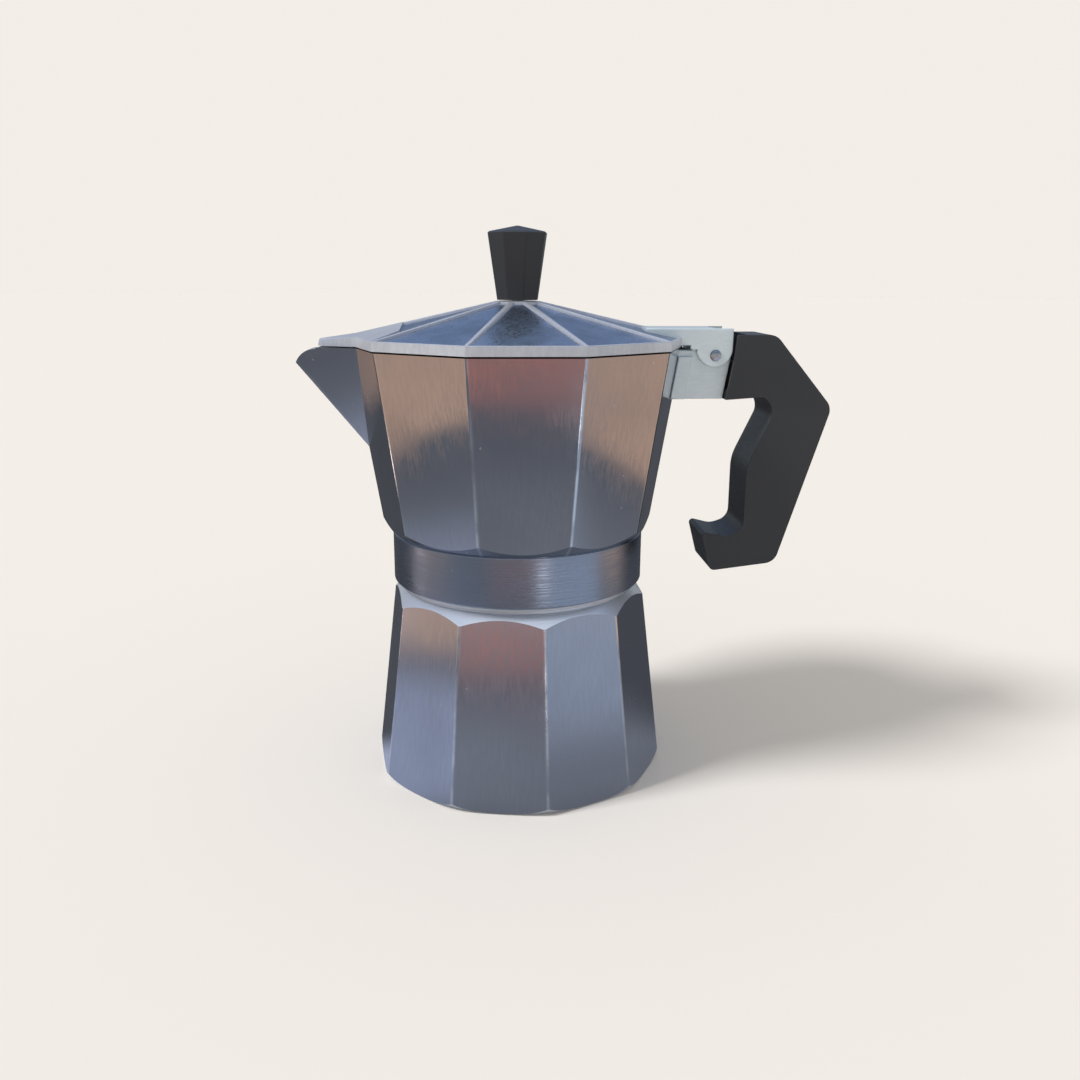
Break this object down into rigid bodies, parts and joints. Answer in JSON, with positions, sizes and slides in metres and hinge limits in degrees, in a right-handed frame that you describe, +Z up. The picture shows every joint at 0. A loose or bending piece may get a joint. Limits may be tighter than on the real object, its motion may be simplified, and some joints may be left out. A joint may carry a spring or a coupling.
{
  "type": "moka pot",
  "caption": "Ten-sided stovetop moka pot with hinged lid, screw-on collector, V spout, faceted knob, side handle and spring safety valve.",
  "frame": {"origin": "centre of the flat base of the boiler", "axes": "+Z up along the pot's axis, +X towards the handle, -X towards the spout, the valve on the +Y side"},
  "size_m": [0.1539, 0.0928, 0.16],
  "materials": {
    "polished_aluminium": "polished cast, worn",
    "cast_aluminium": "brushed cast",
    "sheet_aluminium": "satin",
    "steel": "satin",
    "brass": "satin",
    "white_rubber": "matte",
    "fibre": "matte",
    "black_plastic": "matte"
  },
  "bodies": {
    "boiler_body": {"boiler": "polished_aluminium", "valve_body": "brass", "valve_washer": "fibre", "valve_seal": "white_rubber", "valve_retainer": "steel", "valve_spring": "steel", "funnel": "sheet_aluminium", "funnel_screen": "sheet_aluminium"},
    "plunger_body": {"valve_plunger": "steel"},
    "seal_body": {"gasket": "white_rubber", "filter_plate": "sheet_aluminium"},
    "collector_body": {"collector": "polished_aluminium", "riser_column": "cast_aluminium", "handle": "black_plastic", "hinge_pin": "steel"},
    "lid_body": {"lid": "cast_aluminium", "knob": "black_plastic", "knob_insert": "brass", "knob_screw": "steel", "knob_washer": "steel"}
  },
  "joints": [
    {"name": "collector_lift", "type": "slide", "parent": "boiler_body", "child": "seal_body", "axis": [0, 0, 1], "range_m": [0, 0.0045]},
    {"name": "collector_turn", "type": "hinge", "parent": "seal_body", "child": "collector_body", "pos_m": [0, 0, 0.0589], "axis": [0, 0, 1], "range_deg": [0, 540]},
    {"name": "lid_hinge", "type": "hinge", "parent": "collector_body", "child": "lid_body", "pos_m": [0.0564, 0, 0.1245], "axis": [0, 1, 0], "range_deg": [0, 95]},
    {"name": "valve_slide", "type": "slide", "parent": "boiler_body", "child": "plunger_body", "axis": [0.1691, 0.979, 0.1139], "range_m": [0, 0.0012], "stiffness_N_per_m": 1500, "springref_m": -0.002, "deforming": ["valve_spring"]}
  ],
  "couplings": [
    {"joint": "collector_lift", "follows": "collector_turn", "m_per_rad": 0.00047746}
  ]
}
